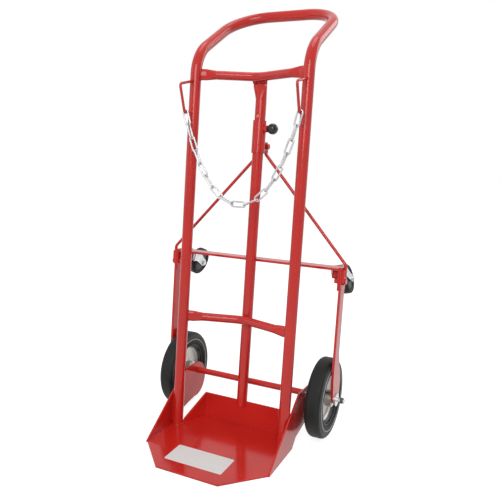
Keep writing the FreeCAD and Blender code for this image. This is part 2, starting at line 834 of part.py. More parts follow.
# Castors: built about the swivel axis, their local Z from the bracket's rear face; the wheel trails along Y
def castor_place(body, side):
    base = LEANED.multVec(Vector(kingpin_x.value * side, web_v.value, kingpin_u.value))
    upright = LEANED.Rotation.multiply(Rotation(AXIS_X, -QUARTER))
    body.Placement = Placement(base, upright.multiply(Rotation(AXIS_Z, -s.castor_turn.value * side)))


crown_z = s.race_height + s.side_gap
crown_back_z = crown_z + s.fork_sheet
for name, side in SIDES:
    nut = new_body(f"{name}_kingpin_nut")
    flats = new_sketch(nut, "XY_Plane", -(s.sheet + s.kingpin_nut_height))
    hexagon(flats, ZERO, ZERO, s.kingpin_nut_flats)
    circle(flats, ZERO, ZERO, s.kingpin_od / 2 + s.pin_fit)
    pad(nut, flats, s.kingpin_nut_height)
    castor_place(nut, side)

    kingpin = new_body(f"{name}_kingpin")
    shank = new_sketch(kingpin, "XY_Plane", -(s.sheet + s.kingpin_nut_height + s.weld_gap))
    circle(shank, ZERO, ZERO, s.kingpin_od / 2)
    head_z = crown_back_z + s.side_gap
    pad(kingpin, shank, s.sheet + s.kingpin_nut_height + s.weld_gap + head_z)
    head = new_sketch(kingpin, "XY_Plane", head_z)
    circle(head, ZERO, ZERO, s.kingpin_head_od / 2)
    pad(kingpin, head, s.kingpin_od / 2)
    castor_place(kingpin, side)

    race = new_body(f"{name}_castor_race")
    disc = new_sketch(race, "XY_Plane")
    circle(disc, ZERO, ZERO, s.race_od / 2)
    circle(disc, ZERO, ZERO, s.kingpin_od / 2 + s.pin_fit)
    pad(race, disc, s.race_height)
    castor_place(race, side)

    fork = new_body(f"{name}_castor_fork")
    cheek = new_sketch(fork, "YZ_Plane")
    outline(cheek, [
        (-s.fork_crown, crown_z),
        (s.fork_crown_trail, crown_z),
        (s.fork_crown_trail, crown_z + s.fork_cheek),
        (s.castor_trail + s.fork_eye_radius, s.castor_drop, None, 1),
        (s.castor_trail - s.fork_eye_radius, s.castor_drop),
        (-s.fork_crown, crown_z + s.fork_cheek),
    ])
    pad(fork, cheek, s.fork_width, symmetric=True)
    between = new_sketch(fork, "XZ_Plane")
    rectangle(between, -fork_inner, fork_inner, crown_back_z, s.castor_drop + s.castor_od)
    pocket(fork, between)
    pin_hole = new_sketch(fork, "XY_Plane")
    circle(pin_hole, ZERO, ZERO, s.kingpin_od / 2 + s.pin_fit)
    pocket(fork, pin_hole)
    axle_holes = new_sketch(fork, "YZ_Plane")
    circle(axle_holes, s.castor_trail, s.castor_drop, s.castor_axle_od / 2 + s.pin_fit)
    pocket(fork, axle_holes)
    castor_place(fork, side)

    hub_bore = s.castor_axle_od / 2 + s.pin_fit
    core_r = s.castor_core_od / 2
    castor_half = s.castor_width / 2
    castor_hub = s.castor_hub_width / 2
    parts = [turned(f"{name}_castor_core", [
        (-castor_hub, hub_bore),
        (castor_hub, hub_bore),
        (castor_hub, s.castor_axle_od),
        (castor_half - s.fork_sheet, s.castor_axle_od),
        (castor_half - s.fork_sheet, core_r),
        (s.fork_sheet - castor_half, core_r),
        (s.fork_sheet - castor_half, s.castor_axle_od),
        (-castor_hub, s.castor_axle_od),
    ])]
    castor_r = s.castor_od / 2
    tread = s.castor_tread
    parts.append(turned(f"{name}_castor_tyre", [
        (s.fork_sheet - castor_half, core_r + s.weld_gap),
        (castor_half - s.fork_sheet, core_r + s.weld_gap),
        (castor_half, core_r + s.fork_sheet),
        (castor_half, castor_r - tread, tread, 1),
        (castor_half - tread, castor_r),
        (tread - castor_half, castor_r, tread, 1),
        (-castor_half, castor_r - tread),
        (-castor_half, core_r + s.fork_sheet),
    ]))
    bolt_half = s.fork_width / 2 + s.weld_gap
    bolt_r = s.castor_axle_od / 2
    bolt_end = bolt_half + bolt_r
    bolt_head_r = s.castor_bolt_head / 2
    parts.append(turned(f"{name}_castor_axle", [
        (-bolt_end, ZERO),
        (bolt_end, ZERO),
        (bolt_end, bolt_head_r),
        (bolt_half, bolt_head_r),
        (bolt_half, bolt_r),
        (-bolt_half, bolt_r),
        (-bolt_half, bolt_head_r),
        (-bolt_end, bolt_head_r),
    ]))
    for part in parts:
        castor_place(part, side)
        offset = Vector(0, s.castor_trail.value, s.castor_drop.value)
        part.Placement = Placement(part.Placement.multVec(offset), part.Placement.Rotation)


# Fold links: rods with flattened eyes, from the rivets outside the arms to the bolt behind the sleeve
def link_solid(side):
    rod_r = s.link_rod.value / 2
    flat = s.link_flat.value
    length = link_length.value
    eye_r = s.link_eye_od.value / 2
    apex_r = s.apex_eye_od.value / 2
    low_x = arm_outer_x.value + s.side_gap.value
    high_x = lug_half.value + s.side_gap.value
    path = rounded_path([
        Vector(side * (low_x + rod_r), 0, eye_r),
        Vector(side * (low_x + rod_r), 0, s.link_tab.value),
        Vector(side * (high_x + rod_r), 0, length - s.apex_tab.value),
        Vector(side * (high_x + rod_r), 0, length - apex_r),
    ], [s.link_bend_radius.value] * 2)
    pieces = [swept(path, rod_r)]
    holes = []
    bore = pivot_r.value + s.pin_fit.value
    low_eye = (low_x, 0, 0, s.link_tab_flat.value, eye_r)
    high_eye = (high_x, length, length - s.apex_tab_flat.value, s.apex_tab_flat.value, apex_r)
    for near_x, hole_z, flat_z, flat_length, radius in (low_eye, high_eye):
        x = near_x if side > 0 else -near_x - flat
        pieces.append(Part.makeCylinder(radius, flat, Vector(x, 0, hole_z), AXIS_X))
        pieces.append(Part.makeBox(flat, 2 * radius, flat_length, Vector(x, -radius, flat_z)))
        holes.append(Part.makeCylinder(bore, s.link_rod.value, Vector(side * near_x, 0, hole_z), AXIS_X * side))
    return joined(pieces).cut(holes)


link_tip = math.degrees(math.atan2(link_shift.value, link_rise.value))
for name, side in SIDES:
    link = plain(f"{name}_link", link_solid(side))
    base = LEANED.multVec(Vector(0, s.link_pivot_v.value, link_pivot_u.value))
    link.Placement = Placement(base, LEANED.Rotation.multiply(Rotation(-AXIS_X, link_tip)))

# Sleeve that slides on the centre tube, with a lug for the links behind and a boss for the clamping screw
sleeve_bore = tube_r + s.sleeve_clearance
sleeve_wall = s.sleeve_od / 2 - sleeve_bore
sleeve = new_body("sleeve")
barrel = new_sketch(sleeve, "XY_Plane")
circle(barrel, ZERO, ZERO, s.sleeve_od / 2)
circle(barrel, ZERO, ZERO, sleeve_bore)
pad(sleeve, barrel, s.sleeve_length)
lug = new_sketch(sleeve, "YZ_Plane")
lug_root = sleeve_bore + sleeve_wall / 3
lug_v = s.apex_v - s.centre_v
lug_z = s.lug_rise
outline(lug, [
    (lug_root, ZERO),
    (lug_v, lug_z - s.lug_radius, None, 1),
    (lug_v, lug_z + s.lug_radius),
    (lug_root, lug_z * 2),
])
circle(lug, lug_v, lug_z, pivot_r + s.pin_fit)
pad(sleeve, lug, s.lug_thick, symmetric=True)
boss = new_sketch(sleeve, "YZ_Plane", lug_root)
circle(boss, ZERO, s.clamp_rise, s.clamp_boss_od / 2)
pad(sleeve, boss, s.clamp_boss_x - lug_root)
bored = new_sketch(sleeve, "XY_Plane")
circle(bored, ZERO, ZERO, sleeve_bore)
pocket(sleeve, bored)
thread = new_sketch(sleeve, "YZ_Plane", s.clamp_boss_x)
circle(thread, ZERO, s.clamp_rise, s.clamp_screw_od / 2 + s.pin_fit)
pocket(sleeve, thread, s.clamp_boss_x - s.clamp_screw_od / 2)
place_leaned(sleeve, v=s.centre_v, u=sleeve_low_u)

eye_end = lug_half + s.link_flat + s.side_gap * 2
bolt_end = eye_end + s.apex_nut_height + s.weld_gap
apex_bolt = turned("apex_bolt", [
    (-(bolt_end + s.side_gap), ZERO),
    (bolt_end, ZERO),
    (bolt_end, s.apex_nut_flats / 2),
    (eye_end, s.apex_nut_flats / 2),
    (eye_end, pivot_r),
    (-(bolt_end + s.side_gap), pivot_r),
])
place_leaned(apex_bolt, v=s.apex_v, u=apex_u)
apex_nut = new_body("apex_nut")
flats = new_sketch(apex_nut, "YZ_Plane")
hexagon(flats, ZERO, ZERO, s.apex_nut_flats)
circle(flats, ZERO, ZERO, pivot_r + s.pin_fit)
pad(apex_nut, flats, s.apex_nut_height)
place_leaned(apex_nut, -(eye_end + s.apex_nut_height), s.apex_v, apex_u)

# Clamping screw and its ball knob
screw_r = s.clamp_screw_od / 2
knob_r = s.knob_od / 2
collar_r = s.knob_collar_od / 2
collar_x = s.clamp_boss_x + s.side_gap
seat_x = s.knob_x
ball_start = s.knob_x - root(knob_r * knob_r - collar_r * collar_r)
clamp_screw = turned("clamp_screw", [
    (tube_r + s.side_gap, ZERO),
    (seat_x, ZERO),
    (seat_x, screw_r),
    (tube_r + s.side_gap, screw_r),
])
place_leaned(clamp_screw, v=s.centre_v, u=clamp_u)
ball = turned("ball_knob", [
    (collar_x, screw_r + s.pin_fit),
    (seat_x + s.pin_fit, screw_r + s.pin_fit),
    (seat_x + s.pin_fit, ZERO),
    (s.knob_x + knob_r, ZERO, knob_r, 1),
    (s.knob_x, knob_r, knob_r, 1),
    (ball_start, collar_r),
    (collar_x, collar_r),
])
place_leaned(ball, v=s.centre_v, u=clamp_u)


# Chain hooks: bent rods that leave the uprights' fronts, dip to a valley for the chain and run back
def hook_points():
    """Places in the plane of an upright's axis, from inside the tube's wall to the tail that lies along it."""
    tail_v = -(tube_r + s.hook_rod / 2 + s.weld_gap * 2).value
    return [
        Vector(0, s.tube_wall.value - tube_r.value, s.hook_u.value),
        Vector(0, s.hook_top_v.value, s.hook_top_u.value),
        Vector(0, s.hook_valley_v.value, s.hook_valley_u.value),
        Vector(0, tail_v, s.hook_arch_u.value),
        Vector(0, tail_v, s.hook_tail_u.value),
    ]


def hook_solid():
    rod = swept(rounded_path(hook_points(), [s.hook_bend_radius.value] * 3), s.hook_rod.value / 2)
    upright = Part.makeCylinder(tube_r.value + s.weld_gap.value, 2 * s.hook_u.value, Vector(0, 0, 0), AXIS_Z)
    return rod.cut(upright)


for name, side in SIDES:
    place_leaned(plain(f"{name}_chain_hook", hook_solid()), s.upright_half * side)


# Chain: separate interlinked links along a catenary between the two valleys
def valley_bottom():
    """Y and Z of the hook rod's axis where it lies lowest."""
    points = hook_points()
    corner = LEANED.multVec(points[2])
    back = (LEANED.multVec(points[1]) - corner).normalize()
    ahead = (LEANED.multVec(points[3]) - corner).normalize()
    half = back.getAngle(ahead) / 2
    bend = corner + (back + ahead).normalize() * (s.hook_bend_radius.value / math.sin(half))
    return bend.y, bend.z - s.hook_bend_radius.value


def catenary_size(half_span, half_length):
    low = half_span / 20
    high = half_span * 20
    for _ in range(60):
        middle = (low + high) / 2
        if middle * math.sinh(half_span / middle) > half_length:
            low = middle
        else:
            high = middle
    return (low + high) / 2


def chain_link():
    """One link along X, flat in the XZ plane."""
    bend = (s.chain_width.value - s.chain_wire.value) / 2
    run = (s.chain_pitch.value + s.chain_wire.value) / 2 - bend
    wire_r = s.chain_wire.value / 2
    top = Part.LineSegment(Vector(-run, 0, bend), Vector(run, 0, bend)).toShape()
    nose = Part.Arc(Vector(run, 0, bend), Vector(run + bend, 0, 0), Vector(run, 0, -bend)).toShape()
    bottom = Part.LineSegment(Vector(run, 0, -bend), Vector(-run, 0, -bend)).toShape()
    tail = Part.Arc(Vector(-run, 0, -bend), Vector(-run - bend, 0, 0), Vector(-run, 0, bend)).toShape()
    return swept(Part.Wire([top, nose, bottom, tail]), wire_r)


def chain_shape():
    count = int(s.chain_links.value)
    end_reach = (s.chain_pitch.value + s.chain_wire.value) / 2
    step = s.chain_pitch.value - s.chain_slack.value
    half_length = end_reach + step * (count - 1) / 2
    seat_y, rod_z = valley_bottom()
    over_rod = (s.hook_rod.value + s.chain_wire.value) / 2 + s.side_gap.value
    slope = math.pi / 3
    for _ in range(12):
        half_span = s.upright_half.value + over_rod * math.cos(slope)
        sag = catenary_size(half_span, half_length)
        slope = math.atan(math.sinh(half_span / sag))
    low_z = rod_z + over_rod * math.sin(slope) - sag * math.cosh(half_span / sag)
    links = []
    for index in range(count):
        run = (index - (count - 1) / 2) * step
        x = sag * math.asinh(run / sag)
        tilt = math.degrees(math.atan(math.sinh(x / sag)))
        turn = Rotation(AXIS_Y, -tilt).multiply(Rotation(AXIS_X, QUARTER * (index % 2)))
        link = chain_link()
        link.Placement = Placement(Vector(x, seat_y, low_z + sag * math.cosh(x / sag)), turn)
        links.append(link)
    return Part.makeCompound(links)


plain("chain_links", chain_shape())

doc.recompute()
for thing in doc.Objects:
    if "Invalid" in thing.State or "Error" in thing.State:
        raise RuntimeError(f"{thing.Label} did not build: {thing.State}")
os.makedirs("parts", exist_ok=True)
for node in nodes:
    if node.Shape.isNull() or not node.Shape.isValid():
        raise RuntimeError(f"{node.Label} has no valid shape")
    node.Shape.exportStep(f"parts/{node.Label}.step")
print(len(nodes), "parts written")
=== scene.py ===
import json
import math

import bmesh
import bpy
from mathutils import Matrix, Vector


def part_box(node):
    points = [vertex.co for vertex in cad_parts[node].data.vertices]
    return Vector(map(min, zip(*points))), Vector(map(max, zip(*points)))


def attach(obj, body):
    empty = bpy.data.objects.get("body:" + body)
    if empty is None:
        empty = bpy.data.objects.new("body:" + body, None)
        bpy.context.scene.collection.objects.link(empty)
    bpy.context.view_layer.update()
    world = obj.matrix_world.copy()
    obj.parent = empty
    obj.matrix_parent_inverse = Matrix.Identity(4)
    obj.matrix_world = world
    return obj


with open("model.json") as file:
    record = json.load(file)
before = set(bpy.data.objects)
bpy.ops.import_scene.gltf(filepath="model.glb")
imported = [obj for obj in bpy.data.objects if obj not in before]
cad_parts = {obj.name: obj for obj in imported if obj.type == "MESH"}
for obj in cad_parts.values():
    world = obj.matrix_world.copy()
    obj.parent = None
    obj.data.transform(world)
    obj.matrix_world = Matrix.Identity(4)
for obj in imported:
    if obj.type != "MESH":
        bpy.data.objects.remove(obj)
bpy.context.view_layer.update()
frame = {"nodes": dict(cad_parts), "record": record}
nodes = frame["nodes"]

MM = 0.001
SIDES = {"left": -1, "right": 1}

# Sizes of the solids in millimetres. The frame leans back. In it, V runs back from the middle of the
# uprights and U runs up along them.
LEAN = math.radians(5)
TUBE_R = 13.5
UPRIGHT_X = 146
CENTRE_V = 72
BAR_R = 10.5
BAR_END_HALF_HEIGHT = 13.5
BAR_END_HALF_THICK = 4.5
UPPER_BAR_U = 886
MID_BAR_U = 288
SHEET = 4
GUSSET_X = 159.6
AXLE_R = 8
AXLE_Y = 129
AXLE_Z = 100
HOOK_ROOT_U = 867.2
HOOK_TAIL_U = (767, 785)
SLEEVE_R = 16.5
LUG_HALF = 4
LUG_U = (708, 742)
BOSS_R = 8.5
BOSS_U = 765.5
BRACKET_V = 85
BRACKET_U = (392, 442)


def leaned(x, v, u):
    """Place in metres of a point that is given in the leaning frame, in millimetres."""
    y = v * math.cos(LEAN) + u * math.sin(LEAN)
    z = -v * math.sin(LEAN) + u * math.cos(LEAN)
    return Vector((x, y, z)) * MM


# Materials

# Noise: scale, detail and roughness
PAINT_DRIFT = (9.0, 2.0, 0.5)
PAINT_GLOSS = (70.0, 4.0, 0.5)
PAINT_PEEL = (300.0, 2.0, 0.5)
METAL_CLOUD = (38.0, 5.0, 0.6)
METAL_SCUFF = (240.0, 5.0, 0.65)
ROD_CLOUD = (60.0, 4.0, 0.6)
RUBBER_DUST = (26.0, 5.0, 0.6)
RUBBER_SKIN = (420.0, 4.0, 0.5)
PLASTIC_DRIFT = (30.0, 2.0, 0.5)
PLASTIC_GRAIN = (300.0, 3.0, 0.5)
FILM_MOTTLE = (160.0, 3.0, 0.5)

# Bump: strength and height in metres
PEEL_BUMP = (0.025, 0.0002)
SCUFF_BUMP = (0.08, 0.0003)
SKIN_BUMP = (0.18, 0.0004)
GRAIN_BUMP = (0.04, 0.0003)
MOTTLE_BUMP = (0.03, 0.0002)

# Tones: dark and light
RED_TONES = ((0.545, 0.017, 0.012), (0.605, 0.021, 0.014))
# Lighter red that paints a highlight on the stop rivet
HIGHLIGHT_RED_TONES = ((0.70, 0.10, 0.06), (0.88, 0.24, 0.16))
WELD_TONES = ((0.430, 0.013, 0.009), (0.560, 0.018, 0.012))
ZINC_TONES = ((0.50, 0.51, 0.52), (0.66, 0.67, 0.68))
CHAIN_TONES = ((0.42, 0.43, 0.44), (0.60, 0.61, 0.62))
RIM_TONES = ((0.44, 0.415, 0.39), (0.58, 0.55, 0.52))
# Dark tone that paints shade on the wall of the rims' dish
RIM_WALL_SHADE_TONES = ((0.040, 0.040, 0.041), (0.075, 0.075, 0.076))
DARK_STEEL_TONES = ((0.05, 0.05, 0.052), (0.09, 0.09, 0.092))
BUSH_TONES = ((0.50, 0.38, 0.20), (0.62, 0.48, 0.26))
RUBBER_TONES = ((0.009, 0.010, 0.0095), (0.018, 0.019, 0.018))
# Paler rubber that paints light on a band of the tyres' side walls
LIT_BAND_RUBBER_TONES = ((0.050, 0.052, 0.051), (0.085, 0.087, 0.086))
# Pale grey that paints a highlight on a raised ring of the tyres' side walls
TYRE_HIGHLIGHT_TONES = ((0.34, 0.345, 0.345), (0.46, 0.465, 0.465))
CORE_TONES = ((0.05, 0.05, 0.052), (0.075, 0.075, 0.078))
KNOB_TONES = ((0.004, 0.004, 0.004), (0.008, 0.008, 0.008))
FILM_TONES = ((0.74, 0.735, 0.72), (0.77, 0.765, 0.75))

# Part of a noise's range over which its tone goes from dark to light
TONE_SPAN = (0.35, 0.65)

# Distances from the axle in millimetres: where the painted shade on the rims' dish wall sets in, and where
# the painted light on a band of the tyres' side walls sets in and fades out
RIM_WALL_SHADE_FROM = (56, 59)
LIT_BAND_FROM = (80, 82)
LIT_BAND_TO = (92, 96)


class Shader:
    """A material whose nodes end in one Principled surface. Its methods take and give sockets."""

    def __init__(self, name):
        self.material = bpy.data.materials.new(name)
        self.material.use_nodes = True
        self.tree = self.material.node_tree
        self.tree.nodes.clear()
        output = self.add("ShaderNodeOutputMaterial")
        self.surface = self.add("ShaderNodeBsdfPrincipled")
        self.link(self.surface.outputs["BSDF"], output.inputs["Surface"])
        self.place = self.add("ShaderNodeTexCoord").outputs["Object"]

    def add(self, kind, **values):
        """New node, with its settings and the values of its sockets by name."""
        node = self.tree.nodes.new(kind)
        for key, value in values.items():
            if hasattr(node, key):
                setattr(node, key, value)
            else:
                node.inputs[key].default_value = value
        return node

    def link(self, source, target):
        self.tree.links.new(source, target)

    def feed(self, socket, source):
        """Let a socket of the surface follow the source."""
        self.link(source, self.surface.inputs[socket])

    def set(self, **values):
        """Values that are the same all over the surface, by socket, with _ for a space."""
        for key, value in values.items():
            self.surface.inputs[key.replace("_", " ")].default_value = value

    def noise(self, scale, detail, roughness):
        """Noise that stays in place on the object."""
        node = self.add("ShaderNodeTexNoise", Scale=scale, Detail=detail, Roughness=roughness)
        self.link(self.place, node.inputs["Vector"])
        return node.outputs["Fac"]

    def tone(self, source, dark, light):
        """Colour that runs from dark to light with the source."""
        node = self.add("ShaderNodeValToRGB")
        for element, position, colour in zip(node.color_ramp.elements, TONE_SPAN, (dark, light)):
            element.position = position
            element.color = (*colour, 1)
        self.link(source, node.inputs["Fac"])
        return node.outputs["Color"]

    def spread(self, source, low, high):
        """Number that runs from low to high with the source."""
        node = self.add("ShaderNodeMapRange")
        node.inputs["To Min"].default_value = low
        node.inputs["To Max"].default_value = high
        self.link(source, node.inputs["Value"])
        return node.outputs["Result"]

    def rise(self, source, start, end):
        """Nothing below the start and one above the end, both in millimetres."""
        node = self.add("ShaderNodeMapRange")
        node.inputs["From Min"].default_value = start * MM
        node.inputs["From Max"].default_value = end * MM
        self.link(source, node.inputs["Value"])
        return node.outputs["Result"]

    def maths(self, operation, *values):
        """Number that is worked out from sockets or plain numbers."""
        node = self.add("ShaderNodeMath", operation=operation)
        for socket, value in zip(node.inputs, values):
            if isinstance(value, bpy.types.NodeSocket):
                self.link(value, socket)
            else:
                socket.default_value = value
        return node.outputs["Value"]

    def from_axle(self):
        """Distance from the axle's middle line."""
        flat = self.add("ShaderNodeVectorMath", operation="MULTIPLY_ADD")
        self.link(self.place, flat.inputs[0])
        flat.inputs[1].default_value = (0, 1, 1)
        flat.inputs[2].default_value = (0, -AXLE_Y * MM, -AXLE_Z * MM)
        length = self.add("ShaderNodeVectorMath", operation="LENGTH")
        self.link(flat.outputs["Vector"], length.inputs[0])
        return length.outputs["Value"]

    def blend(self, factor, first, second):
        """Base colour that goes from the first tone to the second with the factor."""
        node = self.add("ShaderNodeMix", data_type="RGBA")
        first_socket, second_socket = [socket for socket in node.inputs if socket.type == "RGBA"]
        self.link(factor, node.inputs["Factor"])
        self.link(first, first_socket)
        self.link(second, second_socket)
        self.feed("Base Color", next(socket for socket in node.outputs if socket.type == "RGBA"))

    def bump(self, source, strength, distance):
        """Fine relief that follows the source."""
        node = self.add("ShaderNodeBump", Strength=strength, Distance=distance)
        self.link(source, node.inputs["Height"])
        self.feed("Normal", node.outputs["Normal"])

    def metal(self, roughness):
        """Make the surface metal with fine scuffs."""
        scuff = self.noise(*METAL_SCUFF)
        self.feed("Roughness", self.spread(scuff, *roughness))
        self.bump(scuff, *SCUFF_BUMP)
        self.set(Metallic=1.0)


def paint(name, tones, roughness):
    """Stoved gloss paint: faint drift in tone, orange peel and uneven gloss."""
    shader = Shader(name)
    shader.feed("Base Color", shader.tone(shader.noise(*PAINT_DRIFT), *tones))
    shader.feed("Roughness", shader.spread(shader.noise(*PAINT_GLOSS), *roughness))
    shader.bump(shader.noise(*PAINT_PEEL), *PEEL_BUMP)
    shader.set(Coat_Weight=0.12, Coat_Roughness=0.05, Specular_IOR_Level=0.32)
    return shader.material


def plating(name, tones, roughness):
    """Metal with a cloudy tone and fine scuffs."""
    shader = Shader(name)
    shader.feed("Base Color", shader.tone(shader.noise(*METAL_CLOUD), *tones))
    shader.metal(roughness)
    return shader.material


def dished(name, disc, wall_shade, roughness):
    """Pressed wheel disc: plated in the middle, with painted shade on the wall of its dish."""
    shader = Shader(name)
    cloud = shader.noise(*METAL_CLOUD)
    # Painted shade: the dark tone takes over beyond a set distance from the axle
    shade_zone = shader.rise(shader.from_axle(), *RIM_WALL_SHADE_FROM)
    shader.blend(shade_zone, shader.tone(cloud, *disc), shader.tone(cloud, *wall_shade))
    shader.metal(roughness)
    return shader.material


def rubber(name, fresh, lit_band, roughness):
    """Moulded black rubber with a fine skin, and painted light: a paler grey band on the side walls."""
    shader = Shader(name)
    dust = shader.noise(*RUBBER_DUST)
    reach = shader.from_axle()
    # Band of painted light between two distances from the axle
    lit_band_mask = shader.maths("SUBTRACT", shader.rise(reach, *LIT_BAND_FROM), shader.rise(reach, *LIT_BAND_TO))
    shader.blend(lit_band_mask, shader.tone(dust, *fresh), shader.tone(dust, *lit_band))
    skin = shader.noise(*RUBBER_SKIN)
    shader.feed("Roughness", shader.spread(skin, *roughness))
    shader.bump(skin, *SKIN_BUMP)
    shader.set(Specular_IOR_Level=0.22)
    return shader.material


def plastic(name, tones, roughness, coat):
    """Moulded plastic with a fine grain, under a clear coat where it is polished."""
    shader = Shader(name)
    shader.feed("Base Color", shader.tone(shader.noise(*PLASTIC_DRIFT), *tones))
    grain = shader.noise(*PLASTIC_GRAIN)
    shader.feed("Roughness", shader.spread(grain, *roughness))
    shader.bump(grain, *GRAIN_BUMP)
    shader.set(Coat_Weight=coat, Coat_Roughness=0.06, Specular_IOR_Level=0.22)
    return shader.material


def film(name, tones, roughness):
    """White label film with a faint mottle."""
    shader = Shader(name)
    mottle = shader.noise(*FILM_MOTTLE)
    shader.feed("Base Color", shader.tone(mottle, *tones))
    shader.feed("Roughness", shader.spread(mottle, *roughness))
    shader.bump(mottle, *MOTTLE_BUMP)
    return shader.material


def half_painted(name, painted, bare, roughness, edge):
    """Rod that is painted up to an edge on either side of the middle and bare metal beyond it."""
    shader = Shader(name)
    apart = shader.add("ShaderNodeSeparateXYZ")
    shader.link(shader.place, apart.inputs["Vector"])
    reach = shader.maths("ABSOLUTE", apart.outputs["X"])
    beyond = shader.maths("GREATER_THAN", reach, edge * MM)
    cloud = shader.noise(*ROD_CLOUD)
    shader.blend(beyond, shader.tone(cloud, *painted), shader.tone(cloud, *bare))
    shader.feed("Metallic", beyond)
    shader.feed("Roughness", shader.spread(cloud, *roughness))
    return shader.material


RED = paint("red_paint", RED_TONES, roughness=(0.11, 0.19))
# Lighter red paint that stands for a highlight
RED_HIGHLIGHT = paint("red_painted_highlight", HIGHLIGHT_RED_TONES, roughness=(0.18, 0.32))
RED_WELD = paint("red_weld", WELD_TONES, roughness=(0.22, 0.36))
ZINC = plating("zinc_plate", ZINC_TONES, roughness=(0.24, 0.42))
CHAIN_ZINC = plating("chain_zinc", CHAIN_TONES, roughness=(0.26, 0.44))
RIM_METAL = dished("rim_metal", RIM_TONES, RIM_WALL_SHADE_TONES, roughness=(0.36, 0.52))
DARK_STEEL = plating("dark_steel", DARK_STEEL_TONES, roughness=(0.36, 0.52))
BUSH = plating("bush_metal", BUSH_TONES, roughness=(0.28, 0.44))
AXLE = half_painted("axle_rod", RED_TONES, ZINC_TONES, roughness=(0.24, 0.40), edge=GUSSET_X + SHEET)
TYRE = rubber("tyre_rubber", RUBBER_TONES, LIT_BAND_RUBBER_TONES, roughness=(0.48, 0.68))
TYRE_HIGHLIGHT = plastic("tyre_highlight_ring", TYRE_HIGHLIGHT_TONES, roughness=(0.40, 0.55), coat=0.0)
CORE = plastic("castor_core", CORE_TONES, roughness=(0.34, 0.46), coat=0.0)
KNOB = plastic("knob_plastic", KNOB_TONES, roughness=(0.07, 0.12), coat=0.5)
LABEL = film("label_film", FILM_TONES, roughness=(0.32, 0.42))

SLOT_MATERIALS = {
    "frame_paint": RED,
    "support_paint": RED,
    "zinc": ZINC,
    "chain_zinc": CHAIN_ZINC,
    "rim_metal": RIM_METAL,
    "tyre_rubber": TYRE,
    "castor_core": CORE,
    "dark_steel": DARK_STEEL,
    "bush_metal": BUSH,
    "knob_plastic": KNOB,
}
# Nodes that differ from the rest of their slot: half bare, a lighter red that paints a highlight, or painted
# over
OWN_MATERIALS = {
    "axle": AXLE,
    "stop_rivet": RED_HIGHLIGHT,
    "apex_bolt": RED_WELD,
    "apex_nut": RED_WELD,
    "left_kingpin": RED_WELD,
    "left_kingpin_nut": RED_WELD,
    "right_kingpin": RED_WELD,
    "right_kingpin_nut": RED_WELD,
}
for entry in frame["record"]["subparts"]:
    node = nodes[entry["node"]]
    node.data.materials.clear()
    node.data.materials.append(OWN_MATERIALS.get(entry["node"], SLOT_MATERIALS[entry["material_slot"]]))

# Eased edges of plate, in millimetres, where faces meet at more than the angle
EDGE_WIDTH = 0.7
EDGE_SEGMENTS = 2
EDGE_ANGLE = math.radians(40)
SAME_POINT = 0.01
PLATE_NODES = ["toe_tray", "rear_crossbar", "apex_nut"]
for piece in ("gusset", "arm", "castor_bracket", "axle_nut", "kingpin_nut"):
    PLATE_NODES += [f"{side}_{piece}" for side in SIDES]


def ease_edges(node):
    """Rolled or ground edges on a piece cut from plate."""
    merge = node.modifiers.new("weld", "WELD")
    merge.merge_threshold = SAME_POINT * MM
    bevel = node.modifiers.new("edges", "BEVEL")
    bevel.width = EDGE_WIDTH * MM
    bevel.segments = EDGE_SEGMENTS
    bevel.limit_method = "ANGLE"
    bevel.angle_limit = EDGE_ANGLE


for name in PLATE_NODES:
    ease_edges(nodes[name])


# Camera, light and floor, in metres and watts

CAMERA_AT = Vector((0.60405, -1.17957, 0.71733))
YAW = math.radians(25.22)
PITCH = math.radians(10.37)
ROLL = math.radians(1.51)
FOCAL_PX = 575.39
IMAGE_PX = 500
SENSOR_MM = 36
CLIP_END = 50

WHITE = (1, 1, 1, 1)
WORLD_LIGHT = 0.40
BACKDROP_LIGHT = 1.0
FLOOR_GREY = (0.50, 0.50, 0.50, 1)
FLOOR_LIGHT = 0.81
FLOOR_HALF = 14
FLOOR_DROP = 0.0005

# Name, place, aim, diameter and power
LAMPS = (
    ("key", (0.9, -3.0, 2.2), (0, 0.1, 0.5), 2.2, 64),
    ("fill", (-2.6, -1.6, 1.7), (0, 0.1, 0.5), 2.4, 8),
    ("back", (2.0, 2.8, 2.4), (0, 0.1, 0.5), 2.2, 30),
    ("top", (0.2, 0.6, 6.0), (0, 0.1, 0.4), 3.6, 66),
)


def place_camera():
    """Camera at the photograph's viewing angle."""
    ahead = Vector((-math.sin(YAW) * math.cos(PITCH), math.cos(YAW) * math.cos(PITCH), -math.sin(PITCH)))
    level = Vector((math.cos(YAW), math.sin(YAW), 0))
    upward = level.cross(ahead)
    right = level * math.cos(ROLL) + upward * math.sin(ROLL)
    up = upward * math.cos(ROLL) - level * math.sin(ROLL)
    turned = Matrix((right, up, -ahead)).transposed().to_4x4()
    camera = bpy.data.objects.new("camera", bpy.data.cameras.new("camera"))
    bpy.context.scene.collection.objects.link(camera)
    camera.matrix_world = Matrix.Translation(CAMERA_AT) @ turned
    camera.data.sensor_width = SENSOR_MM
    camera.data.lens = SENSOR_MM * FOCAL_PX / IMAGE_PX
    camera.data.clip_end = CLIP_END
    bpy.context.scene.camera = camera


def seen_ray(tree):
    """One for rays from the camera, a mirror or glass, else nothing."""
    path = tree.nodes.new("ShaderNodeLightPath")
    seen = path.outputs["Is Camera Ray"]
    for name in ("Is Glossy Ray", "Is Transmission Ray"):
        either = tree.nodes.new("ShaderNodeMath")
        either.operation = "MAXIMUM"
        tree.links.new(seen, either.inputs[0])
        tree.links.new(path.outputs[name], either.inputs[1])
        seen = either.outputs[0]
    return seen


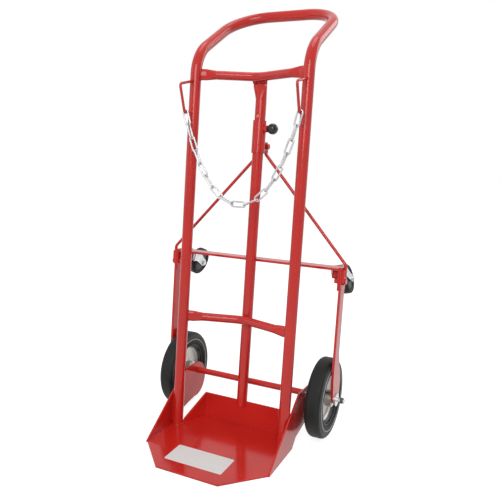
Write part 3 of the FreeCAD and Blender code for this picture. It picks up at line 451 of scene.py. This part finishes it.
def make_world():
    """Even white light, with a white backdrop where it is seen."""
    world = bpy.data.worlds.new("studio")
    bpy.context.scene.world = world
    world.use_nodes = True
    tree = world.node_tree
    tree.nodes.clear()
    output = tree.nodes.new("ShaderNodeOutputWorld")
    mix = tree.nodes.new("ShaderNodeMixShader")
    tree.links.new(seen_ray(tree), mix.inputs["Fac"])
    for socket, strength in ((1, WORLD_LIGHT), (2, BACKDROP_LIGHT)):
        light = tree.nodes.new("ShaderNodeBackground")
        light.inputs["Color"].default_value = WHITE
        light.inputs["Strength"].default_value = strength
        tree.links.new(light.outputs[0], mix.inputs[socket])
    tree.links.new(mix.outputs[0], output.inputs["Surface"])


def floor_material():
    """Grey that takes shadows, lifted to white where it is seen."""
    material = bpy.data.materials.new("floor")
    material.use_nodes = True
    tree = material.node_tree
    tree.nodes.clear()
    output = tree.nodes.new("ShaderNodeOutputMaterial")
    body = tree.nodes.new("ShaderNodeBsdfDiffuse")
    body.inputs["Color"].default_value = FLOOR_GREY
    lift = tree.nodes.new("ShaderNodeEmission")
    lift.inputs["Color"].default_value = WHITE
    strength = tree.nodes.new("ShaderNodeMath")
    strength.operation = "MULTIPLY"
    strength.inputs[1].default_value = FLOOR_LIGHT
    tree.links.new(seen_ray(tree), strength.inputs[0])
    tree.links.new(strength.outputs[0], lift.inputs["Strength"])
    both = tree.nodes.new("ShaderNodeAddShader")
    tree.links.new(body.outputs[0], both.inputs[0])
    tree.links.new(lift.outputs[0], both.inputs[1])
    tree.links.new(both.outputs[0], output.inputs["Surface"])
    return material


def make_floor():
    """Pale floor just below the object."""
    corners = [(x * FLOOR_HALF, y * FLOOR_HALF, 0) for x, y in ((-1, -1), (1, -1), (1, 1), (-1, 1))]
    mesh = bpy.data.meshes.new("floor")
    mesh.from_pydata(corners, [], [(0, 1, 2, 3)])
    mesh.materials.append(floor_material())
    floor = bpy.data.objects.new("floor", mesh)
    floor.location.z = -FLOOR_DROP
    bpy.context.scene.collection.objects.link(floor)


def area_light(name, at, aim, diameter, power):
    """Round soft lamp."""
    lamp = bpy.data.lights.new(name, "AREA")
    lamp.shape = "DISK"
    lamp.size = diameter
    lamp.energy = power
    thing = bpy.data.objects.new(name, lamp)
    bpy.context.scene.collection.objects.link(thing)
    thing.location = at
    thing.rotation_mode = "QUATERNION"
    thing.rotation_quaternion = (Vector(aim) - Vector(at)).to_track_quat("-Z", "Y")


place_camera()
make_world()
make_floor()
for values in LAMPS:
    area_light(*values)
bpy.context.scene.view_settings.view_transform = "Standard"


# Pieces, in millimetres

LABEL_X = (-81, 67)
LABEL_Y = (-160, -92)
LABEL_TOP = 4.25
LABEL_THICK = 0.2
LABEL_CORNER_R = 4
LABEL_CORNER_STEPS = 4

RING_STEPS = 120
SECTION_STEPS = 10
RIB_RADII = (72, 88)
RIB_SECTION_R = 0.7
# Raised ring on the side walls, its pale grey a painted highlight
BAND_RADIUS = 80.5
BAND_SECTION_R = 1.4
RIM_EDGE_X = 16
RIM_EDGE_RADIUS = 64.9
RIM_EDGE_SECTION_R = 1.5

# Weld beads: their radii, the ripple of laid metal as a part of the radius, and its pitch
UPRIGHT_WELD_R = 1.6
GUSSET_WELD_R = 1.3
HOOK_WELD_R = 1.0
CENTRE_WELD_R = 1.8
TOP_WELD_R = 3.6
SLEEVE_WELD_R = 1.0
SUPPORT_WELD_R = 1.2
RIPPLE = 0.16
RIPPLE_PITCH = 2.6
TOP_RIPPLE = 0.22
TOP_RIPPLE_PITCH = 5.5
END_TAPER = 0.5
BEAD_STEPS = 8
SEAM_STEPS = 28
OPEN = False
CLOSED = True


def add_piece(name, shape, material, body, smooth):
    """Make a piece from a finished mesh shape and let it ride on a body."""
    bmesh.ops.recalc_face_normals(shape, faces=shape.faces)
    for face in shape.faces:
        face.smooth = smooth
    mesh = bpy.data.meshes.new(name)
    shape.to_mesh(mesh)
    shape.free()
    mesh.materials.append(material)
    piece = bpy.data.objects.new(name, mesh)
    bpy.context.scene.collection.objects.link(piece)
    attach(piece, body)


def label():
    """Blank film label with round corners on the tray plate."""
    left, right = LABEL_X
    front, rear = LABEL_Y
    radius = LABEL_CORNER_R
    centres = [
        (left + radius, front + radius),
        (right - radius, front + radius),
        (right - radius, rear - radius),
        (left + radius, rear - radius),
    ]
    quarter = math.pi / 2
    outline = []
    for index, (x, y) in enumerate(centres):
        for step in range(LABEL_CORNER_STEPS + 1):
            angle = math.pi + quarter * index + quarter / LABEL_CORNER_STEPS * step
            outline.append((x + radius * math.cos(angle), y + radius * math.sin(angle)))
    shape = bmesh.new()
    top = [shape.verts.new(Vector((x, y, LABEL_TOP)) * MM) for x, y in outline]
    bottom = [shape.verts.new(Vector((x, y, LABEL_TOP - LABEL_THICK)) * MM) for x, y in outline]
    shape.faces.new(top)
    shape.faces.new(reversed(bottom))
    for index in range(len(outline)):
        after = (index + 1) % len(outline)
        shape.faces.new((bottom[index], bottom[after], top[after], top[index]))
    add_piece("tray_label", shape, LABEL, "truck_frame", smooth=False)


def circle(count):
    """Angles of points all round."""
    return [2 * math.pi * step / count for step in range(count)]


def run(start, end, count):
    """Evenly spaced numbers from the start to the end."""
    return [start + (end - start) * step / (count - 1) for step in range(count)]


def lathe(name, profiles, centre, material, body):
    """Rings turned about an X axis through the centre from closed profiles of (x, radius) corners."""
    shape = bmesh.new()
    for profile in profiles:
        rings = []
        for angle in circle(RING_STEPS):
            turn = Vector((0, math.cos(angle), math.sin(angle)))
            points = [centre + (Vector((x, 0, 0)) + turn * r) * MM for x, r in profile]
            rings.append([shape.verts.new(point) for point in points])
        for step, first in enumerate(rings):
            second = rings[(step + 1) % RING_STEPS]
            for index in range(len(profile)):
                after = (index + 1) % len(profile)
                shape.faces.new((first[index], first[after], second[after], second[index]))
    add_piece(name, shape, material, body, smooth=True)


def round_section(x, r, radius):
    """Profile of a ring that is round in section."""
    return [(x + radius * math.cos(turn), r + radius * math.sin(turn)) for turn in circle(SECTION_STEPS)]


def wheel_rings(side):
    """Moulded ribs and a raised ring painted pale as a highlight on the tyre's side walls, and the rolled
    edges of the rim.
    """
    body = f"{side}_road_wheel"
    low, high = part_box(f"{side}_tyre")
    centre = (Vector(low) + Vector(high)) / 2
    half = (high[0] - low[0]) / 2 / MM
    faces = (-half, half)
    ribs = [round_section(x, r, RIB_SECTION_R) for x in faces for r in RIB_RADII]
    lathe(f"{side}_tyre_ribs", ribs, centre, TYRE, body)
    bands = [round_section(x, BAND_RADIUS, BAND_SECTION_R) for x in faces]
    lathe(f"{side}_tyre_highlight_band", bands, centre, TYRE_HIGHLIGHT, body)
    edges = [round_section(x, RIM_EDGE_RADIUS, RIM_EDGE_SECTION_R) for x in (-RIM_EDGE_X, RIM_EDGE_X)]
    lathe(f"{side}_rim_edge", edges, centre, RIM_METAL, body)


def weld(name, seams, radius, body, ripple=RIPPLE, pitch=RIPPLE_PITCH):
    """Weld beads along open or closed lines of points."""
    shape = bmesh.new()
    for points, closed in seams:
        count = len(points)
        rings = []
        travelled = 0.0
        for index, point in enumerate(points):
            before = points[index - 1] if (closed or index) else point
            after = points[(index + 1) % count] if (closed or index < count - 1) else point
            along = (after - before).normalized()
            across = along.orthogonal().normalized()
            over = along.cross(across)
            travelled += (point - before).length
            swell = radius * MM * (1 + ripple * math.sin(travelled / (pitch * MM) * 2 * math.pi))
            if not closed and index in (0, count - 1):
                swell *= END_TAPER
            ring = []
            for angle in circle(BEAD_STEPS):
                outward = across * math.cos(angle) + over * math.sin(angle)
                ring.append(shape.verts.new(point + outward * swell))
            rings.append(ring)
        for index in range(count if closed else count - 1):
            first = rings[index]
            second = rings[(index + 1) % count]
            # Sections start at different angles, so each is joined to the nearest point of the next
            shift = min(range(BEAD_STEPS), key=lambda k: (first[0].co - second[k].co).length)
            for step in range(BEAD_STEPS):
                shape.faces.new((
                    first[step],
                    first[(step + 1) % BEAD_STEPS],
                    second[(step + 1 + shift) % BEAD_STEPS],
                    second[(step + shift) % BEAD_STEPS],
                ))
        if not closed:
            shape.faces.new(reversed(rings[0]))
            shape.faces.new(rings[-1])
    add_piece(name, shape, RED_WELD, body, smooth=True)


def on_tube(radius, offset):
    """How far out a tube's skin lies at an offset from its middle plane."""
    return math.sqrt(radius ** 2 - offset ** 2)


def upright_welds(side):
    """Seams of an upright with the crossbars' flat ends, the tray and its gusset."""
    sign = SIDES[side]
    x = UPRIGHT_X * sign
    seams = []

    # The crossbars' ends come from the middle of their bow
    toward_bow = math.atan2(CENTRE_V - TUBE_R - BAR_R, -x)
    for bar_u in (UPPER_BAR_U, MID_BAR_U):
        seam = []
        for turn in circle(SEAM_STEPS):
            swing = toward_bow + math.asin(BAR_END_HALF_THICK * math.cos(turn) / TUBE_R)
            u = bar_u + BAR_END_HALF_HEIGHT * math.sin(turn)
            seam.append(leaned(x + TUBE_R * math.cos(swing), TUBE_R * math.sin(swing), u))
        seams.append((seam, CLOSED))

    # Its foot leans, so the seam round it on the tray isn't level in the frame
    foot = []
    for turn in circle(SEAM_STEPS):
        v = TUBE_R * math.sin(turn)
        u = (SHEET + v * math.sin(LEAN)) / math.cos(LEAN)
        foot.append(leaned(x + TUBE_R * math.cos(turn), v, u))
    seams.append((foot, CLOSED))

    # Both faces of the gusset, up the outside
    off_middle = 5.2
    proud = 0.5
    bottom_u = 8
    front_top_u = 86
    rear_top_u = 95
    out = sign * (on_tube(TUBE_R, off_middle) + proud)
    for v, top_u in ((-off_middle, front_top_u), (off_middle, rear_top_u)):
        seams.append(([leaned(x + out, v, u) for u in run(bottom_u, top_u, count=48)], OPEN))
    weld(f"{side}_upright_welds", seams, UPRIGHT_WELD_R, "truck_frame")


def gusset_welds(side):
    """Seams of a gusset plate with the tray and round the axle."""
    sign = SIDES[side]
    front_y = -112
    rear_y = 20
    edge_inset = 0.4
    edge_lift = 0.3
    edge_x = sign * (GUSSET_X - edge_inset)
    edge_z = SHEET + edge_lift
    edge = [Vector((edge_x, y, edge_z)) * MM for y in run(front_y, rear_y, count=80)]

    ring_inset = 0.2
    ring_gap = 0.6
    ring_x = sign * (GUSSET_X - ring_inset)
    ring_r = AXLE_R + ring_gap
    ring = []
    for turn in circle(SEAM_STEPS):
        point = Vector((ring_x, AXLE_Y + ring_r * math.cos(turn), AXLE_Z + ring_r * math.sin(turn)))
        ring.append(point * MM)
    seams = [(edge, OPEN), (ring, CLOSED)]
    weld(f"{side}_gusset_welds", seams, GUSSET_WELD_R, "truck_frame")


def hook_welds(side):
    """Seams of a chain hook with its upright: round the root, and along both sides of the tail."""
    x = UPRIGHT_X * SIDES[side]
    root_r = 3.6
    root_steps = 20
    root = []
    for turn in circle(root_steps):
        across = root_r * math.cos(turn)
        root.append(leaned(x + across, -on_tube(TUBE_R, across), HOOK_ROOT_U + root_r * math.sin(turn)))
    seams = [(root, CLOSED)]

    tail_half = 2.6
    proud = 0.8
    for across in (-tail_half, tail_half):
        v = -on_tube(TUBE_R, across) - proud
        seams.append(([leaned(x + across, v, u) for u in run(*HOOK_TAIL_U, count=16)], OPEN))
    weld(f"{side}_hook_welds", seams, HOOK_WELD_R, "truck_frame")


def centre_welds():
    """Seams where the centre tube meets the two crossbars."""
    front = CENTRE_V - TUBE_R
    spot_r = 5
    spot_proud = 0.1
    spot = []
    for turn in circle(SEAM_STEPS):
        spot.append(leaned(spot_r * math.cos(turn), front - spot_proud, MID_BAR_U + spot_r * math.sin(turn)))
    seams = [(spot, CLOSED)]

    flat_half = 13
    flat_rise = 5
    flat_proud = 0.3
    for u in (UPPER_BAR_U - flat_rise, UPPER_BAR_U + flat_rise):
        line = [leaned(x, front - flat_proud, u) for x in run(-flat_half, flat_half, count=18)]
        seams.append((line, OPEN))
    weld("centre_tube_welds", seams, CENTRE_WELD_R, "truck_frame")

    # The heavy seam in sight under the upper bar
    under_half = 17
    under_proud = 2.5
    under_u = UPPER_BAR_U - BAR_R
    under = [leaned(x, front - under_proud, under_u) for x in run(-under_half, under_half, count=60)]
    weld("centre_tube_top_weld", [(under, OPEN)], TOP_WELD_R, "truck_frame",
         TOP_RIPPLE, TOP_RIPPLE_PITCH)


def sleeve_welds():
    """Seams of the sleeve's lug and of its screw boss."""
    seams = []
    lug_proud = 0.3
    lug_gap = 0.4
    lug_v = CENTRE_V + on_tube(SLEEVE_R, LUG_HALF) + lug_proud
    for sign in SIDES.values():
        lug_x = sign * (LUG_HALF + lug_gap)
        seams.append(([leaned(lug_x, lug_v, u) for u in run(*LUG_U, count=24)], OPEN))
    ring = []
    for turn in circle(SEAM_STEPS):
        across = BOSS_R * math.cos(turn)
        ring.append(leaned(on_tube(SLEEVE_R, across), CENTRE_V + across, BOSS_U + BOSS_R * math.sin(turn)))
    seams.append((ring, CLOSED))
    weld("sleeve_welds", seams, SLEEVE_WELD_R, "slide_sleeve")


def support_welds():
    """Seams of the rear support: the brackets along the arms, and the crossbar across its ends."""
    low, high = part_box("rear_crossbar")
    arm_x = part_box("right_arm")[0][0] / MM
    inset = 4 * MM
    seams = []
    for sign in SIDES.values():
        seams.append(([leaned(sign * arm_x, BRACKET_V, u) for u in run(*BRACKET_U, count=34)], OPEN))
        end = high[0] * sign
        end_y = run(low[1] + inset, high[1] - inset, count=22)
        seams.append(([Vector((end, y, high[2])) for y in end_y], OPEN))
    weld("support_welds", seams, SUPPORT_WELD_R, "rear_support")


label()
for side in SIDES:
    upright_welds(side)
    gusset_welds(side)
    hook_welds(side)
for side in SIDES:
    wheel_rings(side)
centre_welds()
sleeve_welds()
support_welds()
